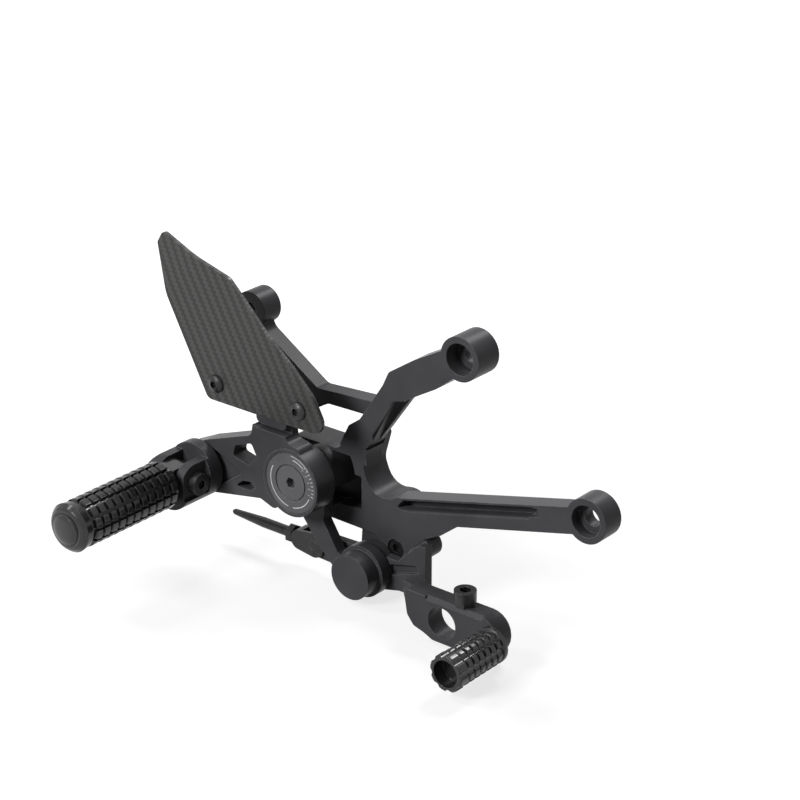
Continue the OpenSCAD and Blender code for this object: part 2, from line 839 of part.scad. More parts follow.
// Toe peg: ribbed sleeve with a lobed, hollow outer end
toe_front = lever_front - toe_len;
toe_rings = 5;
module toe_peg() {
  r = toe_d / 2;
  pitch = 24 / toe_rings;
  color(dark)
  difference() {
    translate([toe[0], lever_front, toe[1]])
      rotate([90, 0, 0])
        rotate_extrude()
          polygon([
            [0, 0], [r - 1, 0], [r - 0.4, 0.8], [r - 0.4, 3],
            for (i = [0:toe_rings - 1])
              each [
                [r - 1.6, 3.6 + i * pitch], [r - 1.6, 5 + i * pitch],
                [r, 5.8 + i * pitch], [r, 3 + (i + 1) * pitch]
              ],
            [r - 1.4, 28.5], [r - 1.4, 30], [r, 31], [r, toe_len - 0.8], [r - 0.8, toe_len], [0, toe_len]
          ]);
    for (i = [0:7])
      drum(toe + (r + 1.1) * [cos(i * 45 + 10), sin(i * 45 + 10)], 4.4, toe_front - 1, lever_front - 3.4);
    drum(toe, 11.4, toe_front - 1, toe_front + 9);
    drum(toe, 8.1, toe_front, lever_front + 1);
  }
}

module toe_bolt() {
  color(steel)
  difference() {
    union() {
      drum(toe, 13, lever_back - 6, lever_back + 1.5);
      drum(toe, 8, lever_front - 26, lever_back - 6);
    }
    hex_bar(toe, 6, lever_back - 2.5, lever_back + 2);
  }
}

// Cap screw and lock nut on top of the lever
screw_x = 25.5;
screw_seat = -126;
module height_screw() {
  color(steel)
  translate([screw_x, lever_front + lever_t / 2, screw_seat])
    difference() {
      union() {
        translate([0, 0, 3.6]) cylinder(d = 12.4, h = 8);
        translate([0, 0, -13]) cylinder(d = 6, h = 17);
      }
      translate([0, 0, 7.6]) cylinder(d = 6 / cos(30), h = 6, $fn = 6);
    }
}

module height_nut() {
  color(steel)
  translate([screw_x, lever_front + lever_t / 2, screw_seat])
    difference() {
      cylinder(d = 10 / cos(30), h = 3.5, $fn = 6);
      translate([0, 0, -1]) cylinder(d = 6.1, h = 6);
    }
}

// Push rod: fork, pin, clip, lock nut and tapered rod
fork_pin_d = 6;
fork_front = stay_back + 0.4;
fork_back = drive_back + 2.6;
fork_len = 17;

module rod_fork() {
  mid = (fork_front + fork_back) / 2;
  color(steel)
  difference() {
    union() bar(fork_pivot, 7.5, fork_pivot - [fork_len - 6, 0], 6, fork_front, fork_back);
    translate([fork_pivot[0] - 9.5, drive_front - 0.3, fork_pivot[1] - 12])
      cube([30, drive_back - drive_front + 0.6, 24]);
    drum(fork_pivot, fork_pin_d + 2 * run_gap, fork_front - 1, fork_back + 1);
    translate([fork_pivot[0] - fork_len - 1, mid, fork_pivot[1]])
      rotate([0, 90, 0])
        cylinder(d = rod_d - 0.9, h = 7);
  }
}

module fork_pin() {
  color(steel)
  union() {
    drum(fork_pivot, fork_pin_d, fork_front, fork_back + 2.4);
    drum(fork_pivot, 8.6, fork_back, fork_back + 1.2);
  }
}

module rod_nut() {
  mid = (fork_front + fork_back) / 2;
  color(steel)
  difference() {
    translate([fork_pivot[0] - fork_len - 4, mid, fork_pivot[1]])
      rotate([0, 90, 0])
        cylinder(d = 10 / cos(30), h = 4, $fn = 6);
    along_x(mid, fork_pivot[1], rod_d, fork_pivot[0] - fork_len - 6, fork_pivot[0]);
  }
}

module push_rod() {
  mid = (fork_front + fork_back) / 2;
  color(steel)
  translate([fork_pivot[0] - rod_len, mid, fork_pivot[1]])
    rotate([0, 90, 0])
      rotate_extrude()
        polygon([
          [0, 0], [rod_tip_d / 2 - 0.6, 0.3], [rod_tip_d / 2, 1.6], [rod_d / 2 - 0.1, 24],
          [rod_d / 2 - 0.1, rod_len - fork_len], [rod_d / 2 - 0.5, rod_len - fork_len],
          [rod_d / 2 - 0.5, rod_len - fork_len + 5.5], [0, rod_len - fork_len + 5.5]
        ]);
}

main_bracket();
peg_carrier();
clamp_disc();
adjuster_bolt();
index_pins();
lever_stay();
peg_clevis();
clevis_screw();
footpeg();
peg_end_plug();
fold_bolt();
fold_nut();
fold_spring();
heel_guard();
guard_holder();
guard_screws();
holder_screws();
brake_lever();
lever_bush();
pivot_bolt();
pivot_washers();
toe_peg();
toe_bolt();
height_screw();
height_nut();
rod_fork();
fork_pin();
rod_nut();
push_rod();
corner_screw();
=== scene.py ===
# %% [markdown]
# A right-hand rear set for a sports motorcycle: the bracket that carries the rider's
# footpeg, the heel guard and the brake lever. The CAD model gives every solid its place
# and its main shape. This lesson dresses those solids, gives seven of them a finer shape
# and photographs the whole.
#
# We load the model first and keep its box, because nothing added later may make the
# part larger than the real one.

import json
import math

import bmesh
import bpy
from mathutils import Matrix, Vector


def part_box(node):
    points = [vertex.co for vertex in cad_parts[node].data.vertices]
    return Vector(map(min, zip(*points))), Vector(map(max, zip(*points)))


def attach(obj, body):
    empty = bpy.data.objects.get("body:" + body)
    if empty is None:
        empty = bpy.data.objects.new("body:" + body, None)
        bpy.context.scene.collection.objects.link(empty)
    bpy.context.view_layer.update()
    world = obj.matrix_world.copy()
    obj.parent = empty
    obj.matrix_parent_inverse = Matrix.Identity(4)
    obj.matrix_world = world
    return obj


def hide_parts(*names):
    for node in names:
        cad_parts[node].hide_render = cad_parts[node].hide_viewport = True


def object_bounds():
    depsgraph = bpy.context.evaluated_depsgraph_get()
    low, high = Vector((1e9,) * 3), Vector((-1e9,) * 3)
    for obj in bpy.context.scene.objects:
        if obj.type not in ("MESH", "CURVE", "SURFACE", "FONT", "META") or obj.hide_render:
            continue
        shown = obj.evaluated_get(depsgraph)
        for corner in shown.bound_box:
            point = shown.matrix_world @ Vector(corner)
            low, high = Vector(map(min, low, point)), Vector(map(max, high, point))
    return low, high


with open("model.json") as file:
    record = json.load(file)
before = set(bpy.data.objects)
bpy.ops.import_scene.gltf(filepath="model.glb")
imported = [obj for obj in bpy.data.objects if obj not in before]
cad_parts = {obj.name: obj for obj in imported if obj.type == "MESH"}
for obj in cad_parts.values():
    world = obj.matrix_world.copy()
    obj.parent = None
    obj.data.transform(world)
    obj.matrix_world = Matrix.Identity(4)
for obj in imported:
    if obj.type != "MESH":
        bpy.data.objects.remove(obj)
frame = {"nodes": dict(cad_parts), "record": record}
cad_low, cad_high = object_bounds()
print("CAD box in mm:", [round(1000 * v, 1) for v in (*cad_low, *cad_high)])

# %% [markdown]
# The camera stands where the photographer stood: in front of the rider's side of the
# part, to its right and a little above it, with a long lens. We build its rotation from
# two angles, the azimuth round the part and the elevation above the floor, so that the
# numbers can be read.

# %% Camera
AZIMUTH = math.radians(39.1)
ELEVATION = math.radians(23.2)
CAMERA_PLACE = (0.713, -0.945, 0.478)
SENSOR_MM, LENS_MM = 36, 108
right = Vector((math.cos(AZIMUTH), math.sin(AZIMUTH), 0))
forward = Vector((
    -math.sin(AZIMUTH) * math.cos(ELEVATION),
    math.cos(AZIMUTH) * math.cos(ELEVATION),
    -math.sin(ELEVATION),
))
up = right.cross(forward)

camera_data = bpy.data.cameras.new("camera")
camera_data.sensor_width = SENSOR_MM
camera_data.lens = LENS_MM
camera_data.clip_start = 0.05
camera = bpy.data.objects.new("camera", camera_data)
bpy.context.scene.collection.objects.link(camera)
turn = Matrix((right, up, -forward)).transposed().to_4x4()
camera.matrix_world = Matrix.Translation(CAMERA_PLACE) @ turn
bpy.context.scene.camera = camera
print("camera at", [round(v, 3) for v in camera.matrix_world.translation])
print("looking along", [round(v, 2) for v in forward])

# %% [markdown]
# The studio is one white floor under a white sky. A white floor would throw much light up
# into the sides of a black part and flatten it, so the floor's own colour is a grey and
# the rest of its white is a glow that only camera, mirrored and transmitted rays meet.
# Light Path tells those rays from the ones that light the part. The floor keeps the soft
# shadow. The lamps fade away from the part, so the glow grows there.

# %% Floor and backdrop
FLOOR_Z = cad_low.z - 0.0002
FLOOR_REACH = 6.0
FLOOR_GREY = 0.32
NEAR_GLOW, FAR_GLOW = 0.72, 1.0
NEAR_M, FAR_M = 0.12, 0.5


def glow_for_seen_rays(nodes, links, strength):
    """strength for camera, glossy and transmitted rays, and nothing for the rest."""
    path = nodes.new("ShaderNodeLightPath")
    seen = nodes.new("ShaderNodeMath")
    seen.operation = "MAXIMUM"
    links.new(path.outputs["Is Camera Ray"], seen.inputs[0])
    links.new(path.outputs["Is Glossy Ray"], seen.inputs[1])
    also = nodes.new("ShaderNodeMath")
    also.operation = "MAXIMUM"
    links.new(seen.outputs[0], also.inputs[0])
    links.new(path.outputs["Is Transmission Ray"], also.inputs[1])
    scaled = nodes.new("ShaderNodeMath")
    scaled.operation = "MULTIPLY"
    links.new(also.outputs[0], scaled.inputs[0])
    if isinstance(strength, float):
        scaled.inputs[1].default_value = strength
    else:
        links.new(strength, scaled.inputs[1])
    return scaled.outputs[0]


def glow_by_distance(nodes, links):
    """NEAR_GLOW up to NEAR_M from the origin, growing to FAR_GLOW at FAR_M."""
    place = nodes.new("ShaderNodeTexCoord")
    away = nodes.new("ShaderNodeVectorMath")
    away.operation = "LENGTH"
    links.new(place.outputs["Object"], away.inputs[0])
    grow = nodes.new("ShaderNodeMapRange")
    grow.inputs["From Min"].default_value = NEAR_M
    grow.inputs["From Max"].default_value = FAR_M
    grow.inputs["To Min"].default_value = NEAR_GLOW
    grow.inputs["To Max"].default_value = FAR_GLOW
    links.new(away.outputs["Value"], grow.inputs["Value"])
    return grow.outputs["Result"]


floor_mesh = bpy.data.meshes.new("floor")
floor_corners = [
    (x * FLOOR_REACH, y * FLOOR_REACH, FLOOR_Z) for x, y in ((-1, -1), (1, -1), (1, 1), (-1, 1))
]
floor_mesh.from_pydata(floor_corners, [], [(0, 1, 2, 3)])
floor = bpy.data.objects.new("floor", floor_mesh)
bpy.context.scene.collection.objects.link(floor)
floor_paint = bpy.data.materials.new("studio_floor")
floor_paint.use_nodes = True
nodes, links = floor_paint.node_tree.nodes, floor_paint.node_tree.links
nodes.clear()
matt = nodes.new("ShaderNodeBsdfDiffuse")
matt.inputs["Color"].default_value = (FLOOR_GREY, FLOOR_GREY, FLOOR_GREY, 1)
glow = nodes.new("ShaderNodeEmission")
more_far_away = glow_by_distance(nodes, links)
links.new(glow_for_seen_rays(nodes, links, more_far_away), glow.inputs["Strength"])
both = nodes.new("ShaderNodeAddShader")
links.new(matt.outputs[0], both.inputs[0])
links.new(glow.outputs[0], both.inputs[1])
end = nodes.new("ShaderNodeOutputMaterial")
links.new(both.outputs[0], end.inputs["Surface"])
floor_mesh.materials.append(floor_paint)
print("floor at", round(1000 * FLOOR_Z, 1), "mm")

# %% [markdown]
# Three soft lamps light the part. One above and behind it draws the bright upper edges,
# one high on the rider's side fills the outer faces, and a small one over the rear
# corner puts highlights on the footpeg and the heel guard. The sky lights the part only
# a little; with its glow for seen rays it comes to a strength of 1, which is white.

# %% Sky and lamps
SKY_LIGHT, SKY_GLOW = 0.04, 0.96

sky = bpy.data.worlds.new("studio")
bpy.context.scene.world = sky
sky.use_nodes = True
nodes, links = sky.node_tree.nodes, sky.node_tree.links
nodes.clear()
back = nodes.new("ShaderNodeBackground")
back.inputs["Color"].default_value = (1, 1, 1, 1)
level = nodes.new("ShaderNodeMath")
level.operation = "ADD"
level.inputs[1].default_value = SKY_LIGHT
links.new(glow_for_seen_rays(nodes, links, SKY_GLOW), level.inputs[0])
links.new(level.outputs[0], back.inputs["Strength"])
end = nodes.new("ShaderNodeOutputWorld")
links.new(back.outputs[0], end.inputs["Surface"])


def softbox(name, place, aim, size, watts):
    """A square area lamp at place, turned towards aim."""
    data = bpy.data.lights.new(name, "AREA")
    data.shape = "SQUARE"
    data.size = size
    data.energy = watts
    lamp = bpy.data.objects.new(name, data)
    bpy.context.scene.collection.objects.link(lamp)
    lamp.location = place
    lamp.rotation_euler = (Vector(aim) - Vector(place)).to_track_quat("-Z", "Y").to_euler()


PART_MIDDLE = (-0.05, -0.03, -0.06)
softbox("back_box", (-0.1, 0.75, 0.95), PART_MIDDLE, size=0.4, watts=10)
softbox("front_box", (-0.35, -1.35, 0.75), PART_MIDDLE, size=0.5, watts=16)
softbox("corner_box", (-0.75, -0.55, 0.9), PART_MIDDLE, size=0.22, watts=3.5)
bpy.context.scene.view_settings.view_transform = "Standard"

# %% [markdown]
# Every finish below starts from the same Principled shader. Sharp CAD edges look false
# in a photograph, since a real milled edge is broken by a fine chamfer that catches the
# light. Instead of changing the mesh, the Bevel node rounds only the shading normal.

# %% A shader to start from
def principled(name, bevel_mm, gloss=0.5):
    """(material, nodes, links, shader, edge) of a new material, its edges rounded in shading."""
    material = bpy.data.materials.new(name)
    material.use_nodes = True
    nodes, links = material.node_tree.nodes, material.node_tree.links
    shader = nodes["Principled BSDF"]
    shader.inputs["Specular IOR Level"].default_value = gloss
    edge = nodes.new("ShaderNodeBevel")
    edge.samples = 6
    edge.inputs["Radius"].default_value = bevel_mm / 1000
    links.new(edge.outputs["Normal"], shader.inputs["Normal"])
    return material, nodes, links, shader, edge


def noise(nodes, links, scale, detail=3):
    """Noise in the part's own metres; scale is in grains per metre."""
    place = nodes.new("ShaderNodeTexCoord")
    grain = nodes.new("ShaderNodeTexNoise")
    grain.inputs["Scale"].default_value = scale
    grain.inputs["Detail"].default_value = detail
    links.new(place.outputs["Object"], grain.inputs["Vector"])
    return grain.outputs["Fac"]


def between(nodes, links, value, low, high, start=0.0, stop=1.0):
    """Maps value from start..stop to low..high."""
    span = nodes.new("ShaderNodeMapRange")
    span.inputs["From Min"].default_value = start
    span.inputs["From Max"].default_value = stop
    span.inputs["To Min"].default_value = low
    span.inputs["To Max"].default_value = high
    links.new(value, span.inputs["Value"])
    return span.outputs["Result"]


def blend_colours(nodes, links, share, first, second):
    """Mixes two colours by share."""
    mix = nodes.new("ShaderNodeMix")
    mix.data_type = "RGBA"
    mix.inputs["A"].default_value = (*first, 1)
    mix.inputs["B"].default_value = (*second, 1)
    links.new(share, mix.inputs["Factor"])
    return mix.outputs["Result"]


def rough_skin(nodes, links, edge, shader, height, depth_mm):
    """Bump of depth_mm over the rounded edges."""
    bump = nodes.new("ShaderNodeBump")
    bump.inputs["Distance"].default_value = depth_mm / 1000
    links.new(height, bump.inputs["Height"])
    links.new(edge.outputs["Normal"], bump.inputs["Normal"])
    links.new(bump.outputs["Normal"], shader.inputs["Normal"])


# %% [markdown]
# The brackets are milled from aluminium plate, bead-blasted and anodised black. The
# blasting leaves a fine, even grain, and the dye never takes quite evenly, so a slow
# change of tone lies under the grain. Every edge, hollow ones too, is painted a little
# lighter: partly the rub of boots and tools, partly a painted highlight for the light a
# fine chamfer catches. The mask below finds the edges by comparing the rounded normal
# with the true one.
# There are three such finishes: satin on the brackets and the lever, gloss on the two
# pegs, and a paler one on the clamp disc and the head of its bolt, whose paler tone is a
# painted sheen of their turned faces.

# %% Black anodised aluminium
def worn_and_highlit_edges(nodes, links, edge, patch_scale):
    """1 on convex and concave edges, broken up by noise: edge wear, and a painted highlight where a
    chamfer catches light.
    """
    flat = nodes.new("ShaderNodeNewGeometry")
    same = nodes.new("ShaderNodeVectorMath")
    same.operation = "DOT_PRODUCT"
    links.new(flat.outputs["Normal"], same.inputs[0])
    links.new(edge.outputs["Normal"], same.inputs[1])
    rubbed_and_highlit = between(nodes, links, same.outputs["Value"], 1.0, 0.0, 0.8, 1.0)
    patches = between(nodes, links, noise(nodes, links, patch_scale), 0.2, 1.0, 0.35, 0.65)
    broken = nodes.new("ShaderNodeMath")
    broken.operation = "MULTIPLY"
    links.new(rubbed_and_highlit, broken.inputs[0])
    links.new(patches, broken.inputs[1])
    return broken.outputs[0]


def lightened_at_edges(nodes, links, shader, skin, wear_and_highlight, edge_wear_and_highlight_tone):
    """The skin's colour, lighter where the edge mask is 1: partly wear, partly a painted highlight
    on the edges.
    """
    edge_lightening = nodes.new("ShaderNodeMix")
    edge_lightening.data_type = "RGBA"
    links.new(wear_and_highlight, edge_lightening.inputs["Factor"])
    links.new(skin, edge_lightening.inputs["A"])
    edge_lightening.inputs["B"].default_value = (*edge_wear_and_highlight_tone, 1)
    links.new(edge_lightening.outputs["Result"], shader.inputs["Base Color"])


def anodised(name, tone, edge_wear_and_highlight_tone, rough, gloss, bevel_mm, grain_mm):
    """Dyed aluminium, 15 percent darker and lighter in clouds some 25 mm wide."""
    material, nodes, links, shader, edge = principled(name, bevel_mm, gloss)
    slow = noise(nodes, links, 40, 2)
    cloudy = between(nodes, links, slow, 0.0, 1.0, 0.3, 0.7)
    darker, lighter = [v * 0.85 for v in tone], [v * 1.15 for v in tone]
    skin = blend_colours(nodes, links, cloudy, darker, lighter)
    # The edges get a lighter tone: wear, and a painted highlight of the chamfers.
    lightened_at_edges(nodes, links, shader, skin, worn_and_highlit_edges(nodes, links, edge, 300), edge_wear_and_highlight_tone)
    roughness = between(nodes, links, slow, rough - 0.04, rough + 0.04, 0.3, 0.7)
    links.new(roughness, shader.inputs["Roughness"])
    rough_skin(nodes, links, edge, shader, noise(nodes, links, 2600, 2), grain_mm)
    print("finish", name, "roughness", rough)
    return material


satin_black = anodised(
    "satin_black_anodise", tone=(0.066, 0.066, 0.071), edge_wear_and_highlight_tone=(0.24, 0.24, 0.25),
    rough=0.36, gloss=0.1, bevel_mm=0.6, grain_mm=0.012,
)
gloss_black = anodised(
    "gloss_black_anodise", tone=(0.02, 0.02, 0.021), edge_wear_and_highlight_tone=(0.14, 0.14, 0.145),
    rough=0.2, gloss=0.45, bevel_mm=0.35, grain_mm=0.004,
)
# Paler tone and edges: a painted sheen of the turned disc face and bolt head.
sheen_painted_black = anodised(
    "sheen_painted_black_anodise", tone=(0.125, 0.125, 0.132), edge_wear_and_highlight_tone=(0.34, 0.34, 0.35),
    rough=0.32, gloss=0.15, bevel_mm=0.5, grain_mm=0.01,
)

# %% [markdown]
# The screws, nuts and the push rod are steel with a black oxide skin: darker than bare
# steel, a little brown, and smooth on turned surfaces.

# %% Black oxide steel
def oxide_steel(name):
    """Steel with an oxide skin, lighter on its edges: rubbed bare, and a painted highlight."""
    material, nodes, links, shader, edge = principled(name, 0.2)
    shader.inputs["Metallic"].default_value = 0.75
    cloudy = between(nodes, links, noise(nodes, links, 160, 3), 0.0, 1.0, 0.3, 0.7)
    skin = blend_colours(nodes, links, cloudy, (0.03, 0.03, 0.032), (0.05, 0.048, 0.047))
    # Lighter edges: bare steel where rubbed, and a painted highlight on every edge.
    lightened_at_edges(nodes, links, shader, skin, worn_and_highlit_edges(nodes, links, edge, 500), (0.2, 0.2, 0.2))
    roughness = between(nodes, links, noise(nodes, links, 900, 4), 0.3, 0.46, 0.3, 0.7)
    links.new(roughness, shader.inputs["Roughness"])
    rough_skin(nodes, links, edge, shader, noise(nodes, links, 3000, 2), 0.006)
    print("finish", name)
    return material


black_steel = oxide_steel("black_oxide_steel")

# %% [markdown]
# The heel guard is a plate of carbon fibre cloth in clear resin. The cloth is a two by
# two twill: each tow passes over two and under two, and each row starts one tow later,
# which draws the diagonal steps. Math nodes count the tows along and across, decide
# which one lies on top, and give it its rounded height and its own sheen. The colour of
# the tows is painted light and shade: tows of one direction are painted lighter, as a
# painted sheen along their fibres, and the others darker, as painted shade.

# %% Carbon twill
CLOTH_TURN = math.radians(-16)
# Painted sheen and painted shade: the tows of one direction are lighter than the other's.
WEFT_PAINTED_SHADE, WARP_PAINTED_SHEEN = (0.022, 0.022, 0.0214), (0.05, 0.05, 0.048)
SHEEN_DARK, SHEEN_LIGHT = 0.5, 0.38


def carbon_twill(name, tow_mm):
    """A two by two twill whose tows are tow_mm wide, in clear resin."""
    material, nodes, links, shader, edge = principled(name, 0.3, 0.3)

    def compute(operation, first, second=None):
        """The output of a Math node whose inputs are numbers or sockets."""
        step = nodes.new("ShaderNodeMath")
        step.operation = operation
        for socket, value in zip(step.inputs, (first, second)):
            if value is None:
                continue
            if isinstance(value, (int, float)):
                socket.default_value = value
            else:
                links.new(value, socket)
        return step.outputs[0]

    place = nodes.new("ShaderNodeTexCoord")
    lay = nodes.new("ShaderNodeMapping")
    lay.inputs["Rotation"].default_value = (0, CLOTH_TURN, 0)
    links.new(place.outputs["Object"], lay.inputs["Vector"])
    axes = nodes.new("ShaderNodeSeparateXYZ")
    links.new(lay.outputs["Vector"], axes.inputs[0])
    along = compute("MULTIPLY", axes.outputs["X"], 1000 / tow_mm)
    across = compute("MULTIPLY", axes.outputs["Z"], 1000 / tow_mm)
    column = compute("FLOOR", along)
    row = compute("FLOOR", across)
    order = compute("FLOORED_MODULO", compute("ADD", column, row), 4)
    warp_on_top = compute("LESS_THAN", order, 1.5)
    inside_column = compute("SUBTRACT", along, column)
    inside_row = compute("SUBTRACT", across, row)
    crown_warp = compute("SINE", compute("MULTIPLY", inside_column, math.pi))
    crown_weft = compute("SINE", compute("MULTIPLY", inside_row, math.pi))
    crown = nodes.new("ShaderNodeMix")
    crown.data_type = "FLOAT"
    links.new(warp_on_top, crown.inputs["Factor"])
    links.new(crown_weft, crown.inputs["A"])
    links.new(crown_warp, crown.inputs["B"])
    fibres = compute("MULTIPLY", noise(nodes, links, 1800, 2), 0.25)
    height = compute("ADD", compute("POWER", crown.outputs["Result"], 0.5), fibres)
    # Warp tows on top take the painted sheen, weft tows the painted shade.
    tone = blend_colours(nodes, links, warp_on_top, WEFT_PAINTED_SHADE, WARP_PAINTED_SHEEN)
    links.new(tone, shader.inputs["Base Color"])
    shader.inputs["Metallic"].default_value = 0.1
    sheen = nodes.new("ShaderNodeMix")
    sheen.data_type = "FLOAT"
    links.new(warp_on_top, sheen.inputs["Factor"])
    sheen.inputs["A"].default_value = SHEEN_DARK
    sheen.inputs["B"].default_value = SHEEN_LIGHT
    links.new(sheen.outputs["Result"], shader.inputs["Roughness"])
    shader.inputs["Coat Weight"].default_value = 0.15
    shader.inputs["Coat Roughness"].default_value = 0.3
    rough_skin(nodes, links, edge, shader, height, 0.05)
    print("finish", name, "tow", tow_mm, "mm")
    return material


twill = carbon_twill("carbon_twill", 2.1)

# %% [markdown]
# The bush in the lever's eye is bronze. It can't be seen on the assembled part, but the
# piece has its finish when it is taken out.

# %% Bronze
def plain_bronze(name):
    """Bare bronze, a little darker in patches."""
    material, nodes, links, shader, edge = principled(name, 0.2)
    shader.inputs["Metallic"].default_value = 1.0
    cloudy = between(nodes, links, noise(nodes, links, 400, 4), 0.0, 1.0, 0.3, 0.7)
    skin = blend_colours(nodes, links, cloudy, (0.38, 0.24, 0.1), (0.5, 0.34, 0.17))
    links.new(skin, shader.inputs["Base Color"])
    links.new(between(nodes, links, cloudy, 0.35, 0.5), shader.inputs["Roughness"])
    rough_skin(nodes, links, edge, shader, noise(nodes, links, 2000, 2), 0.004)
    return material


bronze = plain_bronze("sintered_bronze")

# %% [markdown]
# The record says which finish each CAD node has. We read it from there, so that a node
# added to the model later can't be forgotten. The clamp disc and the head of its bolt
# then get the paler finish, a painted sheen of their turned faces.

# %% Dress the CAD nodes
FINISHES = {
    "anodised": satin_black,
    "grip": gloss_black,
    "steel": black_steel,
    "carbon": twill,
    "bronze": bronze,
}
for row in frame["record"]["subparts"]:
    piece = frame["nodes"][row["node"]]
    piece.data.materials.clear()
    piece.data.materials.append(FINISHES[row["material_slot"]])
# These two get the paler black, a painted sheen of their turned faces.
for node in ("clamp_disc", "adjuster_bolt"):
    sheen_painted_piece = frame["nodes"][node]
    sheen_painted_piece.data.materials.clear()
    sheen_painted_piece.data.materials.append(sheen_painted_black)

# %% [markdown]
# Seven pieces get a finer shape here than the CAD solids have: the bracket, the brake
# lever, its toe peg and bolt, the cap screw and lock nut on top of it, and the heel
# guard. All are made as a machinist would make them. A flat outline with rounded corners
# is drawn out to a thickness, and then other such blanks and round bars are joined to it
# or cut from it with the Boolean modifier. The helpers below speak millimetres, as a
# workshop drawing does, and turn them into metres.

# %% Helpers that shape a piece
MM = 0.001
WELD_M = 0.000002
SHARP_FROM = math.radians(28)
JOIN, CUT, COMMON = "UNION", "DIFFERENCE", "INTERSECT"
FLAT_AXES = {
    "x": lambda p, depth: (depth, p[0], p[1]),
    "y": lambda p, depth: (p[0], depth, p[1]),
    "z": lambda p, depth: (p[0], p[1], depth),
}


def rounded(corners, steps=6):
    """The points of an outline whose corners are (across, up) or (across, up, radius)."""
    points = []
    for i, corner in enumerate(corners):
        here = Vector(corner[:2])
        if len(corner) < 3:
            points.append(here)
            continue
        radius = corner[2]
        before = (Vector(corners[i - 1][:2]) - here).normalized()
        after = (Vector(corners[(i + 1) % len(corners)][:2]) - here).normalized()
        half = math.acos(max(-1, min(1, before.dot(after)))) / 2
        middle = here + (before + after).normalized() * (radius / math.sin(half))
        first = here + before * (radius / math.tan(half)) - middle
        last = here + after * (radius / math.tan(half)) - middle
        start = math.atan2(first.y, first.x)
        sweep = math.atan2(last.y, last.x) - start
        sweep = (sweep + math.pi) % (2 * math.pi) - math.pi
        for k in range(steps + 1):
            angle = start + sweep * k / steps
            points.append(middle + Vector((math.cos(angle), math.sin(angle))) * radius)
    return points


def circle(centre, diameter, steps=64):
    """The points of a circle."""
    return [
        Vector(centre) + Vector((math.cos(a), math.sin(a))) * (diameter / 2)
        for a in (2 * math.pi * k / steps for k in range(steps))
    ]


def drawn_out(points, low, high, axis="y", far_points=None):
    """A flat outline drawn out along one axis, to another outline if there is one."""
    mesh = bmesh.new()
    ends = [
        [mesh.verts.new(Vector(FLAT_AXES[axis](p, depth)) * MM) for p in outline]
        for outline, depth in ((points, low), (far_points or points, high))
    ]
    mesh.faces.new(ends[0])
    mesh.faces.new(ends[1][::-1])
    for i in range(len(points)):
        k = (i + 1) % len(points)
        mesh.faces.new((ends[0][i], ends[0][k], ends[1][k], ends[1][i]))
    return as_object("blank", mesh)


def turned(profile, centre, start, steps=72):
    """(radius, depth) points turned round the Y axis at centre, outboard from start."""
    mesh = bmesh.new()
    rings = []
    for radius, depth in profile:
        if radius == 0:
            tip = mesh.verts.new(Vector((centre[0], start - depth, centre[1])) * MM)
            rings.append([tip] * steps)
            continue
        rings.append([
            mesh.verts.new(Vector((p.x, start - depth, p.y)) * MM)
            for p in circle(centre, 2 * radius, steps)
        ])
    for first, second in zip(rings, rings[1:]):
        for i in range(steps):
            k = (i + 1) % steps
            corners = list(dict.fromkeys((first[i], first[k], second[k], second[i])))
            mesh.faces.new(corners)
    return as_object("blank", mesh)


def as_object(name, mesh):
    """Turns a bmesh into an object of the scene, with its faces pointing outwards."""
    bmesh.ops.recalc_face_normals(mesh, faces=mesh.faces[:])
    data = bpy.data.meshes.new(name)
    mesh.to_mesh(data)
    mesh.free()
    made = bpy.data.objects.new(name, data)
    bpy.context.scene.collection.objects.link(made)
    return made


def evaluated(thing):
    """A new mesh with the object's modifiers applied."""
    graph = bpy.context.evaluated_depsgraph_get()
    return bpy.data.meshes.new_from_object(thing.evaluated_get(graph))


def shaped(name, base, *steps):
    """base after each step in turn; a step is (JOIN, CUT or COMMON, tool)."""
    for operation, tool in steps:
        modifier = base.modifiers.new("step", "BOOLEAN")
        modifier.operation = operation
        modifier.solver = "EXACT"
        modifier.object = tool
        result = evaluated(base)
        base.modifiers.clear()
        base.data = result
        bpy.data.objects.remove(tool)
    mesh = bmesh.new()
    mesh.from_mesh(base.data)
    bmesh.ops.remove_doubles(mesh, verts=mesh.verts[:], dist=WELD_M)
    bmesh.ops.recalc_face_normals(mesh, faces=mesh.faces[:])
    loose = [v for v in mesh.verts if not v.link_faces]
    bmesh.ops.delete(mesh, geom=loose, context="VERTS")
    open_edges = sum(1 for e in mesh.edges if len(e.link_faces) != 2)
    mesh.to_mesh(base.data)
    mesh.free()
    base.name = base.data.name = name
    base.data.polygons.foreach_set("use_smooth", [True] * len(base.data.polygons))
    base.data.set_sharp_from_angle(angle=SHARP_FROM)
    print(name, "faces", len(base.data.polygons), "open edges", open_edges)
    return base


def stands_for(piece, node, body, material):
    """The piece takes the node's place on its body."""
    piece.data.materials.clear()
    piece.data.materials.append(material)
    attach(piece, body)
    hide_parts(node)


def by(origin, *corner):
    """A corner given by its distance from an axis, with its radius where it has one."""
    return (origin[0] + corner[0], origin[1] + corner[1], *corner[2:])


def box_mm(node):
    """The low and the high corner of a CAD node's box, in millimetres."""
    return [Vector(corner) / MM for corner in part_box(node)]


def middle_of(node, axes):
    """The middle of a CAD node's box on two axes, such as "xz"."""
    low, high = box_mm(node)
    return tuple((getattr(low, axis) + getattr(high, axis)) / 2 for axis in axes)


# %% [markdown]
# The bracket's two outboard arms are milled out to save weight. The front arm has a long
# pocket between a thin upper rim and a wide lower lip. The sloping arm is cut down to a
# flange along the window, so that only its outer rib keeps the full thickness. We copy
# the CAD shape into a new object, join its corners up again, and mill the copy.

